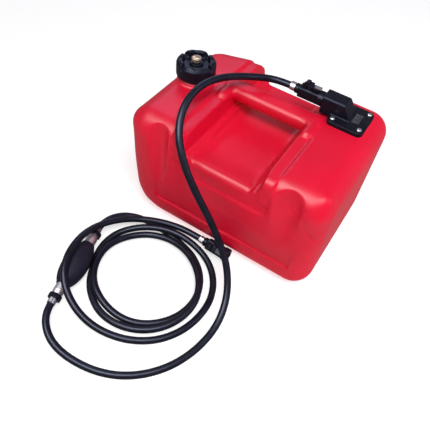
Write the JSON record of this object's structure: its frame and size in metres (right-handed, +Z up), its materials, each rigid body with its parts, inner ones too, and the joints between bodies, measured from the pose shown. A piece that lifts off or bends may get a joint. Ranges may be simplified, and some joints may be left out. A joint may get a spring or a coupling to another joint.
{
  "type": "portable outboard fuel tank",
  "caption": "Portable red boat fuel tank with moulded handle, vented filler cap, gauge, pickup outlet, and a black hose line with primer bulb and push-on couplers.",
  "frame": {"origin": "middle of the tank's base, on the surface that it stands on", "axes": "+X along the tank from the filler cap's end to the pickup's end, -Y to the front with the hand recess's lip, +Z up"},
  "size_m": [0.4026, 0.6374, 0.3067],
  "materials": {
    "tank_plastic": "satin moulded polyethylene",
    "black_plastic": "satin moulded",
    "seal_rubber": "matt",
    "hose_rubber": "satin extruded",
    "bulb_rubber": "satin moulded",
    "brass": "turned",
    "steel": "bright plated",
    "valve_metal": "cast and turned",
    "gauge_face": "clear moulded over a pale dial",
    "inner_plastic": "natural",
    "float_cork": "closed-cell foam"
  },
  "bodies": {
    "tank": {"tank_shell": "tank_plastic", "threaded_inserts": "brass", "pickup_gasket": "seal_rubber", "pickup_housing": "black_plastic", "flange_screws": "steel", "gauge_window": "gauge_face", "gauge_bracket": "inner_plastic", "gauge_pivot_pin": "steel", "pickup_tube": "inner_plastic", "pickup_strainer": "inner_plastic", "outlet_spigot": "brass"},
    "cap_seal": {"cap_gasket": "seal_rubber"},
    "filler_cap": {"filler_cap": "black_plastic"},
    "vent_seal": {"vent_washer": "seal_rubber"},
    "vent_screw": {"vent_screw": "brass"},
    "float_arm": {"gauge_float_arm": "inner_plastic", "gauge_float": "float_cork"},
    "fuel_line": {"tank_coupler_body": "black_plastic", "tank_coupler_oring": "seal_rubber", "tank_lever_pin": "steel", "tank_plunger": "steel", "tank_hose_barb": "brass", "clamp_tank_end": "steel", "hose_to_bulb": "hose_rubber", "clamp_bulb_inlet": "steel", "inlet_valve": "valve_metal", "inlet_valve_nut": "black_plastic", "primer_bulb": "bulb_rubber", "outlet_valve": "valve_metal", "outlet_valve_nut": "black_plastic", "clamp_bulb_outlet": "steel", "hose_to_engine": "hose_rubber", "clamp_engine_end": "steel", "engine_coupler_body": "black_plastic", "engine_coupler_oring": "seal_rubber", "engine_lever_pin": "steel", "engine_hose_barb": "brass"},
    "tank_coupler_lever": {"tank_coupler_lever": "black_plastic", "tank_latch_plate": "steel"},
    "engine_coupler_lever": {"engine_coupler_lever": "black_plastic", "engine_latch_plate": "steel"},
    "inlet_valve_ball": {"inlet_valve_ball": "steel"},
    "outlet_valve_ball": {"outlet_valve_ball": "steel"},
    "engine_plunger": {"engine_plunger": "steel"}
  },
  "joints": [
    {"name": "cap_lift", "type": "slide", "parent": "tank", "child": "cap_seal", "axis": [0, 0, 1], "range_m": [0, 0.0181]},
    {"name": "cap_turn", "type": "hinge", "parent": "cap_seal", "child": "filler_cap", "pos_m": [-0.152, 0.003, 0.276], "axis": [0, 0, 1], "range_deg": [0, 1080]},
    {"name": "vent_lift", "type": "slide", "parent": "filler_cap", "child": "vent_seal", "axis": [0, 0, 1], "range_m": [0, 0.0041]},
    {"name": "vent_turn", "type": "hinge", "parent": "vent_seal", "child": "vent_screw", "pos_m": [-0.152, 0.003, 0.29], "axis": [0, 0, 1], "range_deg": [0, 720]},
    {"name": "float_swing", "type": "hinge", "parent": "tank", "child": "float_arm", "pos_m": [0.147, 0.071, 0.2396], "axis": [-1, 0, 0], "range_deg": [0, 78]},
    {"name": "coupler_slide", "type": "slide", "parent": "tank", "child": "fuel_line", "axis": [-1, 0, 0], "range_m": [0, 0.02]},
    {"name": "tank_lever_press", "type": "hinge", "parent": "fuel_line", "child": "tank_coupler_lever", "pos_m": [0.0494, 0.071, 0.2866], "axis": [0, -1, 0], "range_deg": [0, 8], "stiffness_Nm_per_rad": 0.4, "springref_deg": -2.86},
    {"name": "engine_lever_press", "type": "hinge", "parent": "fuel_line", "child": "engine_coupler_lever", "pos_m": [0.01564, -0.16391, 0.02496], "axis": [-0.0247, -0.7067, -0.7071], "range_deg": [0, 8], "stiffness_Nm_per_rad": 0.4, "springref_deg": -2.86},
    {"name": "inlet_ball_slide", "type": "slide", "parent": "fuel_line", "child": "inlet_valve_ball", "axis": [-0.2368, 0.9715, 0], "range_m": [0, 0.003]},
    {"name": "outlet_ball_slide", "type": "slide", "parent": "fuel_line", "child": "outlet_valve_ball", "axis": [-0.2368, 0.9715, 0], "range_m": [0, 0.003]},
    {"name": "engine_plunger_slide", "type": "slide", "parent": "fuel_line", "child": "engine_plunger", "axis": [-0.9994, 0.0349, 0], "range_m": [0, 0.003], "stiffness_N_per_m": 200, "springref_m": -0.002}
  ],
  "couplings": [
    {"joint": "cap_lift", "follows": "cap_turn", "m_per_rad": 0.00095493},
    {"joint": "vent_lift", "follows": "vent_turn", "m_per_rad": 0.00031831}
  ]
}
